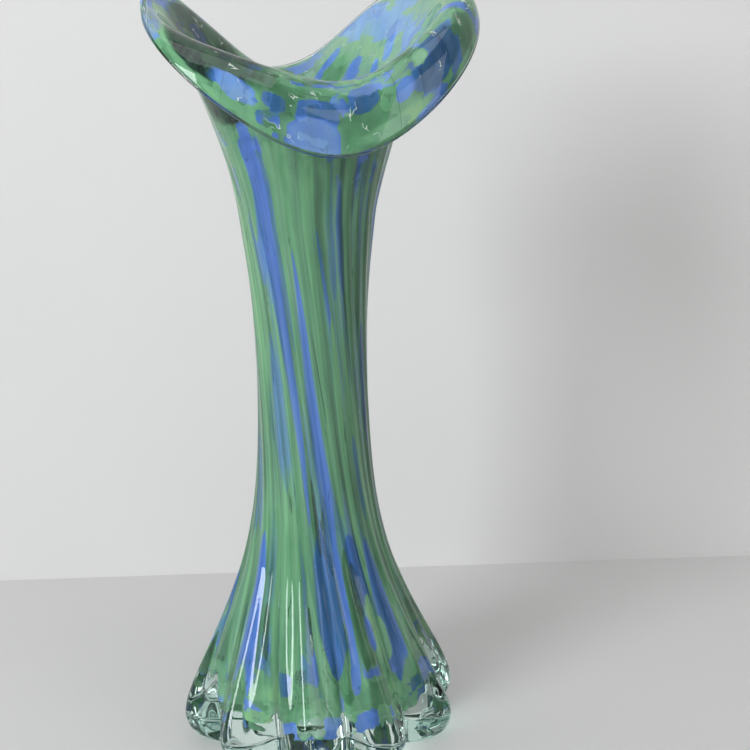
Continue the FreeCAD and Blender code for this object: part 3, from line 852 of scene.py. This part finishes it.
make_casing()
make_lining()
make_lip()
make_pad()
for k in range(TOES):
    make_toe(k)
angle = SEAM
for k, width in enumerate(STREAK_WIDTHS):
    make_streak("green" if k % 2 else "blue", k // 2 + 1, angle, width)
    angle += width

# ------------------------------------------------------------------ stage, light and camera
BACKDROP_AT = 0.178         # metres behind the vase's axis
BACKDROP_HEIGHT = 2.4
FLOOR_REACH = 3.0


def paint(name, colour, rough, open_behind=False):
    """Matt paint; open_behind lets a look from behind the sheet through."""
    n = Nodes(name)
    shade = n.noise(n.new("ShaderNodeTexCoord").outputs["Object"], 3.0, 3.0)
    surface = n.new("ShaderNodeBsdfPrincipled")
    n.link(n.ramp(shade.outputs[0], [(0.3, tuple(0.96 * c for c in colour)), (0.7, colour)]),
           surface.inputs["Base Color"])
    surface.inputs["Roughness"].default_value = rough
    if not open_behind:
        return n.done(surface.outputs[0])
    clear = n.new("ShaderNodeBsdfTransparent")
    behind = n.new("ShaderNodeNewGeometry").outputs["Backfacing"]
    return n.done(n.mix_shader(behind, surface.outputs[0], clear.outputs[0]))


def sheet(name, corners, material):
    """A flat part of the stage."""
    mesh = bpy.data.meshes.new(name)
    mesh.from_pydata(corners, [], [(0, 1, 2, 3)])
    mesh.materials.append(material)
    obj = bpy.data.objects.new(name, mesh)
    bpy.context.scene.collection.objects.link(obj)


def make_stage():
    """A pale floor and a pale backdrop close behind the vase."""
    ground = min(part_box("base_pad")[0][2], 0.0)
    near, far, left, right = -FLOOR_REACH, BACKDROP_AT, -FLOOR_REACH, FLOOR_REACH
    sheet("floor", [(left, near, ground), (right, near, ground), (right, far, ground), (left, far, ground)],
          paint("floor_paint", (0.62, 0.61, 0.60), 0.6))
    sheet("backdrop", [(left, far, ground), (right, far, ground), (right, far, BACKDROP_HEIGHT),
                       (left, far, BACKDROP_HEIGHT)],
          paint("backdrop_paint", (0.74, 0.725, 0.71), 0.9, open_behind=True))


def lamp(name, place, aim_height, width, height, power, colour=(1.0, 1.0, 1.0)):
    """A soft rectangular lamp aimed at the vase's axis; metres and watts."""
    data = bpy.data.lights.new(name, "AREA")
    data.shape = "RECTANGLE"
    data.size, data.size_y = width, height
    data.energy = power
    data.color = colour
    obj = bpy.data.objects.new(name, data)
    obj.location = place
    aim = Vector((0, 0, aim_height)) - Vector(place)
    obj.rotation_euler = aim.to_track_quat("-Z", "Y").to_euler()
    bpy.context.scene.collection.objects.link(obj)


def make_light():
    """A cool window at the front left, a weak fill, a soft light overhead and a dim room."""
    lamp("window", (-1.5, -1.5, 1.0), 0.16, 0.9, 1.1, 38, (0.93, 0.96, 1.0))
    lamp("fill", (1.7, -1.2, 0.9), 0.15, 1.2, 1.2, 7)
    lamp("overhead", (0.0, -0.5, 1.9), 0.1, 1.6, 1.2, 10)
    world = bpy.data.worlds.new("studio")
    bpy.context.scene.world = world
    world.use_nodes = True
    background = world.node_tree.nodes["Background"]
    background.inputs["Color"].default_value = (0.80, 0.83, 0.86, 1.0)
    background.inputs["Strength"].default_value = 0.30


# Viewpoint: level with the rim and close enough to look down on the foot.
CAMERA_DISTANCE = 1.82534 * VASE_HEIGHT
CAMERA_HEIGHT = 0.92937 * VASE_HEIGHT
CAMERA_ASIDE = 0.0005
CAMERA_YAW, CAMERA_PITCH, CAMERA_ROLL = [math.radians(a) for a in (-2.565, -13.45, 0.995)]
SENSOR_MM, LENS_MM = 36.0, 67.872


def make_camera():
    data = bpy.data.cameras.new("camera")
    data.sensor_width = SENSOR_MM
    data.lens = LENS_MM
    data.clip_start = 0.01
    camera = bpy.data.objects.new("camera", data)
    turn = (Matrix.Rotation(CAMERA_YAW, 3, "Z") @ Matrix.Rotation(CAMERA_PITCH, 3, "X")
            @ Matrix.Rotation(CAMERA_ROLL, 3, "Y"))
    right, forward, up = turn.col
    place = (CAMERA_ASIDE, -CAMERA_DISTANCE, CAMERA_HEIGHT)
    rows = [(right[k], up[k], -forward[k], place[k]) for k in range(3)]
    camera.matrix_world = Matrix((*rows, (0, 0, 0, 1)))
    bpy.context.scene.collection.objects.link(camera)
    bpy.context.scene.camera = camera


make_stage()
make_light()
make_camera()
# light crosses many layers of glass and colour before it comes out
bpy.context.scene.cycles.transparent_max_bounces = 32
bpy.context.scene.cycles.transmission_bounces = 14
bpy.context.scene.cycles.max_bounces = 18
bpy.context.scene.view_settings.view_transform = "Standard"
